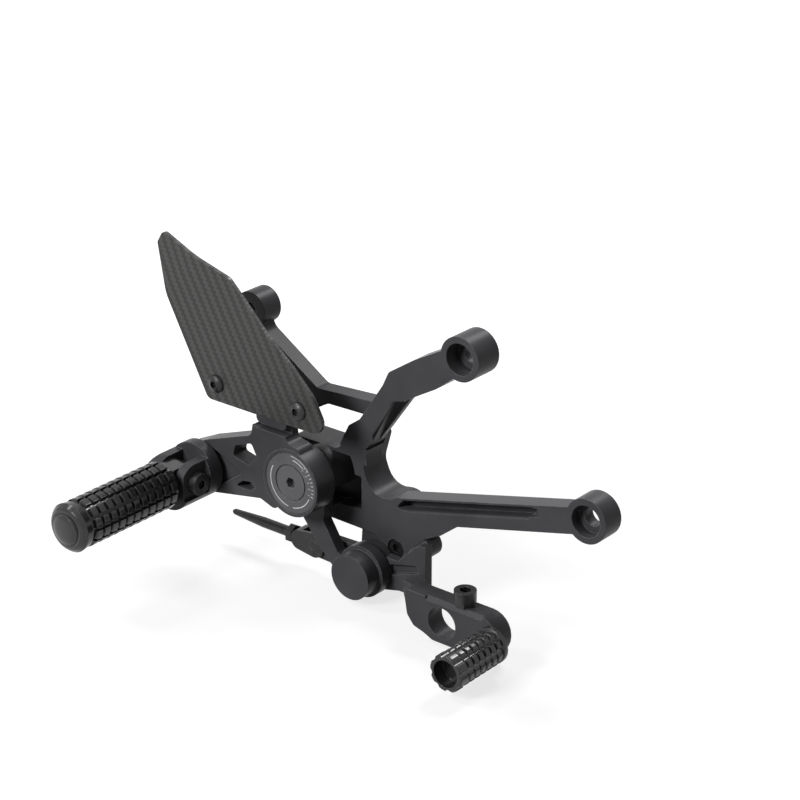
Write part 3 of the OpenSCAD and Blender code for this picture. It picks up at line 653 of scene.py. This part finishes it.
# %% Milled arms of the bracket
FACE = -18.0
FOOT_THICK = 12
POCKET_DEPTH, POCKET_RIM = 8, 0.8
SIDE_DEPTH, FLANGE_DEPTH = 15, 10


def copied(node):
    """A new object with the shape of a CAD node, its split corners joined."""
    mesh = bmesh.new()
    mesh.from_mesh(frame["nodes"][node].data)
    bmesh.ops.remove_doubles(mesh, verts=mesh.verts[:], dist=WELD_M)
    mesh.verts.index_update()
    data = bpy.data.meshes.new("blank")
    faces = [[v.index for v in face.verts] for face in mesh.faces]
    data.from_pydata([v.co[:] for v in mesh.verts], [], faces)
    mesh.free()
    made = bpy.data.objects.new("blank", data)
    bpy.context.scene.collection.objects.link(made)
    return made


ARM_ROOT = Vector((-40, -92.7))
arm_run = Vector((123.5, 31.5)).normalized()
arm_down = Vector((arm_run.y, -arm_run.x))


def on_arm(along, down, *radius):
    """A corner counted along the front arm and down from its upper edge."""
    spot = ARM_ROOT + arm_run * along + arm_down * down
    return (spot.x, spot.y, *radius)


def arm_pocket(wider):
    """The front arm's pocket, its lower side and front end moved out by wider."""
    return rounded([
        on_arm(-4 - wider, 5.8, 0.5), on_arm(1.5, 1.2, 1), on_arm(91 + wider, 1.2, 1),
        on_arm(92 + wider, 4.2 + wider / 2, 1), on_arm(87 + wider / 2, 7.5 + wider, 2),
        on_arm(4, 7.5 + wider, 2),
    ])


arm_foot = rounded([
    (-36.3, -118.6), (-20.1, -111.4), (-11.5, -106.8, 3), (-0.2, -98, 6), (14, -94.4),
    (10, -90), (-38, -102),
])
flange_pocket = rounded([
    (-46.8, -36.5, 1.5), (-62.8, -66.5, 2), (-62.8, -70.5, 1), (-50, -70.5), (-30, -36.5),
])
slimmer_side = rounded([
    (-65.5, -71), (-39.6, -34.8, 6), (-15.7, -22.5), (-15.7, -40), (-50, -71),
])
pocket_edge = drawn_out(
    arm_pocket(2 * POCKET_RIM), FACE - POCKET_RIM, FACE + POCKET_RIM, far_points=arm_pocket(0)
)
bracket = shaped(
    "milled_bracket",
    copied("main_bracket"),
    (JOIN, drawn_out(arm_foot, FACE, FACE + FOOT_THICK)),
    (CUT, drawn_out(arm_pocket(0), FACE - 1, FACE + POCKET_DEPTH)),
    (CUT, pocket_edge),
    (CUT, drawn_out(slimmer_side, FACE - 1, FACE + SIDE_DEPTH)),
    (CUT, drawn_out(flange_pocket, FACE - 1, FACE + FLANGE_DEPTH)),
)
stands_for(bracket, "main_bracket", "bracket_body", satin_black)

# %% [markdown]
# The brake lever is one milled piece: an eye on the pivot, an arm behind the hub, a neck
# that runs slantwise outboard and a plate for the toe peg. The neck is the part of two
# blanks that both have in common, one seen from above and one seen from the side.

# %% Toe lever
PIVOT = (-57.0, -138.0)
TOE = (49.0, -139.4)
TOE_BOLT = (45.4, -138.8)
LEVER_FRONT, LEVER_BACK, LEVER_TOP = -50.0, -38.0, -126.1
EYE_FRONT, EYE_BACK = (corner.y for corner in box_mm("lever_bush"))
EYE_D, BOSS_D, BUSH_D = 29, 21, 14
ARM_BACK = -18.4
DRIVE_FRONT, DRIVE_THICK = EYE_FRONT + 1.7, 5
STOP_LOW, STOP_HIGH = Vector((-36.3, -125.2)), Vector((-20.1, -110.8))
STOP_LUG, STOP_LUG_D, STOP_BACK, STOP_GAP = (-25.6, -118.8), 14.4, -8, 0.35
ROUND_HOLE_D, BOLT_HOLE_D, HEAD_HOLE_D, HEAD_HIGH = 18.4, 6.1, 10.6, 6
fork_pin = middle_of("fork_pin", "xz")
screw_at = middle_of("height_screw", "xy")

plate = drawn_out(rounded([
    by(PIVOT, 45, 11.9, 2), by(PIVOT, 47.5, -3, 4), by(PIVOT, 52, -8.5, 3), by(PIVOT, 59, -10.5, 3),
    by(PIVOT, 65, -13.1, 4), by(TOE, 3, -11.7, 12), by(TOE, 3, 13.3, 12),
]), LEVER_FRONT, LEVER_BACK)
arm = drawn_out(rounded([
    by(PIVOT, 0, 12), by(PIVOT, 11, 9.5, 4), by(PIVOT, 20.5, 9.5, 4), by(PIVOT, 25.5, 15.5),
    by(PIVOT, 35, 24), by(PIVOT, 39.6, 24), by(PIVOT, 39.6, -2, 3), by(PIVOT, 35, -8.4, 3),
    by(PIVOT, 21, -8.4, 4), by(PIVOT, 4.2, -12.6, 4), by(PIVOT, 0, -14),
]), EYE_FRONT, ARM_BACK)
neck_low = PIVOT[1] - 8.4
neck = shaped(
    "neck",
    drawn_out([
        (PIVOT[0] + 24, EYE_FRONT), (PIVOT[0] + 24, ARM_BACK), (PIVOT[0] + 39.6, ARM_BACK),
        (PIVOT[0] + 55.6, LEVER_BACK - 0.5), (PIVOT[0] + 55.6, LEVER_FRONT + 3),
        (PIVOT[0] + 47.6, LEVER_FRONT + 3),
    ], neck_low, neck_low + 30, "z"),
    (COMMON, drawn_out([
        (ARM_BACK + 1, neck_low), (ARM_BACK + 1, neck_low + 7), (EYE_FRONT, neck_low + 7),
        (LEVER_BACK - 6, LEVER_TOP), (LEVER_FRONT, LEVER_TOP), (LEVER_FRONT, neck_low),
    ], PIVOT[0], PIVOT[0] + 60, "x")),
)
stop_run = (STOP_HIGH - STOP_LOW).normalized()
stop_side = Vector((-stop_run.y, stop_run.x))
stop_lug = shaped(
    "stop_lug",
    drawn_out(circle(STOP_LUG, STOP_LUG_D), ARM_BACK - 0.6, STOP_BACK),
    (CUT, drawn_out([
        STOP_LOW - stop_run * 20 - stop_side * STOP_GAP,
        STOP_HIGH + stop_run * 20 - stop_side * STOP_GAP,
        STOP_HIGH + stop_run * 20 + stop_side * 20,
        STOP_LOW - stop_run * 20 + stop_side * 20,
    ], -40, 0)),
)
drive_arm = drawn_out(rounded([
    by(fork_pin, -7.5, 7.5, 7.4), by(fork_pin, -7.5, -7.5, 7.4), by(PIVOT, 0, -9), by(PIVOT, 0, 9),
]), DRIVE_FRONT, DRIVE_FRONT + DRIVE_THICK)
long_bevel = drawn_out([
    (LEVER_FRONT - 1, LEVER_TOP - 3.2), (LEVER_FRONT + 3.2, LEVER_TOP + 1),
    (LEVER_FRONT - 1, LEVER_TOP + 1),
], PIVOT[0] + 60, TOE[0] - 8, "x")
arm_hollow = drawn_out(rounded([
    by(PIVOT, 14, 6, 1.5), by(PIVOT, 33, 11, 1.5), by(PIVOT, 36, 7, 1.5), by(PIVOT, 15, -0.5, 1.5),
]), EYE_FRONT - 1, EYE_FRONT + 2.5)
round_hole = drawn_out(
    circle(by(PIVOT, 71.4, -1), ROUND_HOLE_D), LEVER_FRONT - 1, LEVER_BACK + 1
)
toe_lever = shaped(
    "toe_lever",
    plate,
    (JOIN, neck),
    (JOIN, arm),
    (JOIN, drawn_out(circle(PIVOT, EYE_D), EYE_FRONT, ARM_BACK)),
    (JOIN, drawn_out(circle(PIVOT, BOSS_D, 72), EYE_FRONT, EYE_BACK)),
    (JOIN, stop_lug),
    (JOIN, drive_arm),
    (CUT, round_hole),
    (CUT, long_bevel),
    (CUT, drawn_out(circle(PIVOT, BUSH_D), EYE_FRONT - 1, EYE_BACK + 1)),
    (CUT, drawn_out(circle(fork_pin, BOLT_HOLE_D), DRIVE_FRONT - 1, DRIVE_FRONT + 6)),
    (CUT, drawn_out(circle(TOE_BOLT, BOLT_HOLE_D), LEVER_FRONT - 1, LEVER_BACK + 1)),
    (CUT, drawn_out(circle(TOE_BOLT, HEAD_HOLE_D), LEVER_BACK - HEAD_HIGH, LEVER_BACK + 1)),
    (CUT, drawn_out(circle(screw_at, BOLT_HOLE_D), LEVER_TOP - 15, LEVER_TOP + 5, "z")),
    (CUT, arm_hollow),
)
stands_for(toe_lever, "brake_lever", "lever_body", satin_black)

# %% [markdown]
# The toe peg is turned: six saw-tooth rings, then a wider end. Eight round flutes along
# it leave rows of knobs that grip the boot, and the end is bored out, so that the flutes
# show there as lobes. Its bolt sits off the centre, so turning the peg moves it a little
# towards the boot.

# %% Toe peg and its bolt
TOE_LEN, TOE_R, TOE_RINGS, TOE_END = 41.0, 10.3, 6, 8.0
TOE_TIP = LEVER_FRONT - TOE_LEN
FLUTES, FLUTE_D, FLUTE_TURN = 8, 5.4, 10
SHANK_D, HEAD_D, SOCKET_D = 6, 10, 5.77
pitch = (TOE_LEN - TOE_END - 3.6) / TOE_RINGS
profile = [(0, 0), (TOE_R - 0.6, 0), (TOE_R, 0.6), (TOE_R, 2.8)]
for i in range(TOE_RINGS):
    profile += [
        (TOE_R - 1.5, 3.6 + i * pitch), (TOE_R - 1.5, 4.5 + i * pitch),
        (TOE_R, 5.3 + i * pitch), (TOE_R, 2.9 + (i + 1) * pitch),
    ]
profile += [
    (TOE_R - 1.3, TOE_LEN - TOE_END), (TOE_R - 1.3, TOE_LEN - TOE_END + 1),
    (TOE_R + 0.3, TOE_LEN - TOE_END + 2), (TOE_R + 0.3, TOE_LEN - 0.8),
    (TOE_R - 0.5, TOE_LEN), (0, TOE_LEN),
]
flutes = []
for i in range(FLUTES):
    angle = math.radians(360 / FLUTES * i + FLUTE_TURN)
    spot = by(TOE, (TOE_R + 1.3) * math.cos(angle), (TOE_R + 1.3) * math.sin(angle))
    flutes.append((CUT, drawn_out(circle(spot, FLUTE_D, 24), TOE_TIP - 1, LEVER_FRONT - 3.4)))
toe_peg = shaped(
    "toe_peg_ribbed",
    turned(profile, TOE, LEVER_FRONT),
    *flutes,
    (CUT, drawn_out(circle(TOE, 2 * TOE_R - 5), TOE_TIP - 1, TOE_TIP + TOE_END)),
    (CUT, drawn_out(circle(TOE_BOLT, BOLT_HOLE_D), LEVER_FRONT - 22, LEVER_FRONT + 1)),
)
stands_for(toe_peg, "toe_peg", "lever_body", gloss_black)
toe_bolt = shaped(
    "toe_peg_bolt",
    drawn_out(circle(TOE_BOLT, HEAD_D), LEVER_BACK - HEAD_HIGH, LEVER_BACK),
    (JOIN, drawn_out(circle(TOE_BOLT, SHANK_D), LEVER_FRONT - 20, LEVER_BACK - 5.5)),
    (CUT, drawn_out(circle(TOE_BOLT, SOCKET_D, 6), LEVER_BACK - 3, LEVER_BACK + 1)),
)
stands_for(toe_bolt, "toe_bolt", "lever_body", black_steel)

# %% [markdown]
# A cap screw stands on top of the lever, held by a flat lock nut. Both take their place
# from the CAD screw. A circle of six steps is a hexagon, so one helper draws the cap, the
# nut and the hexagon socket.

# %% Cap screw and lock nut on top of the lever
NUT_HIGH, CAP_HIGH = 2.3, 6.6
CAP_D, CAP_SHANK_D, CAP_SOCKET_D, NUT_D = 12.4, 5.98, 6.93, 11.55
cap_low, cap_high = LEVER_TOP + NUT_HIGH + 0.1, LEVER_TOP + NUT_HIGH + CAP_HIGH
height_screw = shaped(
    "height_screw_cap",
    drawn_out(circle(screw_at, CAP_D), cap_low, cap_high, "z"),
    (JOIN, drawn_out(circle(screw_at, CAP_SHANK_D), LEVER_TOP - 13, LEVER_TOP + 4, "z")),
    (CUT, drawn_out(circle(screw_at, CAP_SOCKET_D, 6), LEVER_TOP + 5.2, LEVER_TOP + 12, "z")),
)
stands_for(height_screw, "height_screw", "lever_body", black_steel)
height_nut = shaped(
    "height_lock_nut",
    drawn_out(circle(screw_at, NUT_D, 6), LEVER_TOP, LEVER_TOP + NUT_HIGH, "z"),
    (CUT, drawn_out(circle(screw_at, BOLT_HOLE_D), LEVER_TOP - 1, LEVER_TOP + 5, "z")),
)
stands_for(height_nut, "height_nut", "lever_body", black_steel)

# %% [markdown]
# The heel guard is cut from a flat sheet and its upper corner is bent inwards, away from
# the boot. We cut the flat sheet along the bend line, push everything beyond that line
# inwards in proportion to its distance, and break the sharp edges of the sheet all round
# with a bevel, as a file does.

# %% Heel guard
ADJUSTER = (-95.5, -89.7)
BEND_LOW, BEND_HIGH = by(ADJUSTER, -92.9, 92.7), by(ADJUSTER, -64.7, 118.3)
TIP_LEAN = math.tan(math.radians(6))
GUARD_OUT = box_mm("heel_guard")[0].y
GUARD_THICK = 2.5
SCREW_HOLE_D = 6.4
FILED_MM = 0.5
guard = drawn_out(rounded([
    by(ADJUSTER, -98.7, 119.6, 2), by(ADJUSTER, -94.3, 127, 3.5), by(ADJUSTER, -72.5, 119.4, 14),
    by(ADJUSTER, -42.5, 111.3, 5), by(ADJUSTER, -34, 103.3, 7), by(ADJUSTER, -15.8, 85.2),
    by(ADJUSTER, 2, 70.9), by(ADJUSTER, 17.5, 55.9, 12), by(ADJUSTER, 29, 35.1, 7),
    by(ADJUSTER, -60.9, 35.1, 5), by(ADJUSTER, -90.5, 90.3, 20),
]), GUARD_OUT, GUARD_OUT + GUARD_THICK)
screws_low, screws_high = box_mm("guard_screws")
HEAD_R = (screws_high.z - screws_low.z) / 2
for x in (screws_low.x + HEAD_R, screws_high.x - HEAD_R):
    rim = circle((x, screws_low.z + HEAD_R), SCREW_HOLE_D)
    hole = drawn_out(rim, GUARD_OUT - 1, GUARD_OUT + GUARD_THICK + 1)
    guard = shaped("heel_guard_sheet", guard, (CUT, hole))
bend_from = Vector(BEND_LOW) * MM
bend_run = (Vector(BEND_HIGH) * MM - bend_from).normalized()
beyond = Vector((-bend_run.y, bend_run.x))
sheet = bmesh.new()
sheet.from_mesh(guard.data)
bmesh.ops.bisect_plane(
    sheet, geom=sheet.verts[:] + sheet.edges[:] + sheet.faces[:], dist=WELD_M / 2,
    plane_co=(bend_from.x, 0, bend_from.y), plane_no=(beyond.x, 0, beyond.y),
)
for vertex in sheet.verts:
    past = (Vector((vertex.co.x, vertex.co.z)) - bend_from).dot(beyond)
    vertex.co.y += max(0, past) * TIP_LEAN
sheet.to_mesh(guard.data)
sheet.free()
filed = guard.modifiers.new("filed_edge", "BEVEL")
filed.width = FILED_MM * MM
filed.segments = 2
filed.limit_method = "ANGLE"
filed.angle_limit = math.radians(50)
guard.data = evaluated(guard)
guard.modifiers.clear()
stands_for(guard, "heel_guard", "bracket_body", twill)

# %% [markdown]
# The clamp disc carries a position scale, cut by laser through the black skin down to
# the pale metal. We draw it as a skin 0.03 mm thick on the disc's face: four arcs, a row
# of ticks and plain numbers. The arcs and ticks come from one helper that makes a bent
# strip between two radii and two angles.

# %% Position scale on the clamp disc
disc_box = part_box("clamp_disc")
SCALE_FACE = disc_box[0][1]
SCALE_LIFT = 0.00003
ARC_IN, ARC_OUT = 14.4, 15.0
TICK_IN, TICK_OUT, TICK_DEG, FIRST_TICK_DEG = 15.3, 16.9, 8, 344.2
NUMBER_R, NUMBER_HIGH, NUMBER_DEG = 13.6, 2.0, 16
disc_middle = (Vector(disc_box[0]) + Vector(disc_box[1])) / 2
print("disc face at y =", round(1000 * SCALE_FACE, 2), "mm")
print("disc centre", [round(1000 * v, 1) for v in disc_middle], "mm")


def scale_point(radius_mm, angle_deg, lift):
    """A point on the disc's face, counted from +X towards +Z."""
    turn_by = math.radians(angle_deg)
    return (
        disc_middle.x + radius_mm / 1000 * math.cos(turn_by),
        SCALE_FACE - lift,
        disc_middle.z + radius_mm / 1000 * math.sin(turn_by),
    )


def bent_strip(mesh, inner_mm, outer_mm, start_deg, stop_deg):
    """A thin closed skin between two radii and two angles."""
    steps = max(1, int(abs(stop_deg - start_deg) / 3))
    rings = []
    for i in range(steps + 1):
        angle = start_deg + (stop_deg - start_deg) * i / steps
        rings.append([
            mesh.verts.new(scale_point(radius, angle, lift))
            for radius, lift in (
                (inner_mm, SCALE_LIFT), (outer_mm, SCALE_LIFT), (outer_mm, 0), (inner_mm, 0)
            )
        ])
    for first, second in zip(rings, rings[1:]):
        for i in range(4):
            mesh.faces.new((first[i], first[(i + 1) % 4], second[(i + 1) % 4], second[i]))
    mesh.faces.new(rings[0][::-1])
    mesh.faces.new(rings[-1])


def numeral(mesh, text, radius_mm, angle_deg, height_mm):
    """A plain number standing upright on its radius."""
    font = bpy.data.curves.new("numeral", "FONT")
    font.body = text
    font.size = height_mm / 1000
    font.extrude = SCALE_LIFT / 2
    font.align_x = "CENTER"
    font.align_y = "CENTER"
    letter = bpy.data.objects.new("numeral", font)
    solid = bpy.data.meshes.new_from_object(letter)
    spot = Vector(scale_point(radius_mm, angle_deg, SCALE_LIFT / 2))
    faces_out = Matrix.Rotation(math.radians(90), 4, "X")
    upright = Matrix.Rotation(math.radians(90 - angle_deg), 4, "Y")
    solid.transform(Matrix.Translation(spot) @ upright @ faces_out)
    mesh.from_mesh(solid)
    bpy.data.objects.remove(letter)


laser_mark = bpy.data.materials.new("laser_mark")
laser_mark.use_nodes = True
nodes, links = laser_mark.node_tree.nodes, laser_mark.node_tree.links
shader = nodes["Principled BSDF"]
speckle = noise(nodes, links, 6000, 3)
bare_metal = blend_colours(nodes, links, speckle, (0.55, 0.55, 0.55), (0.8, 0.8, 0.8))
links.new(bare_metal, shader.inputs["Base Color"])
links.new(between(nodes, links, speckle, 0.45, 0.7, 0.3, 0.7), shader.inputs["Roughness"])

scale_mesh = bmesh.new()
for start_deg, stop_deg in ((150, 262), (276, 336), (52, 82)):
    bent_strip(scale_mesh, ARC_IN, ARC_OUT, start_deg, stop_deg)
bent_strip(scale_mesh, 16.6, 17.0, 38, 88)
for i in range(9):
    tick_deg = FIRST_TICK_DEG + TICK_DEG * i
    bent_strip(scale_mesh, TICK_IN, TICK_OUT, tick_deg, tick_deg + 1.6)
for i in range(5):
    number_deg = 345 + NUMBER_DEG * i - (360 if i else 0)
    numeral(scale_mesh, str(i + 1), NUMBER_R, number_deg, NUMBER_HIGH)
scale_data = bpy.data.meshes.new("position_scale")
scale_mesh.to_mesh(scale_data)
scale_mesh.free()
scale_data.materials.append(laser_mark)
position_scale = bpy.data.objects.new("position_scale", scale_data)
bpy.context.scene.collection.objects.link(position_scale)
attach(position_scale, "bracket_body")
print("position scale:", len(scale_data.polygons), "faces")
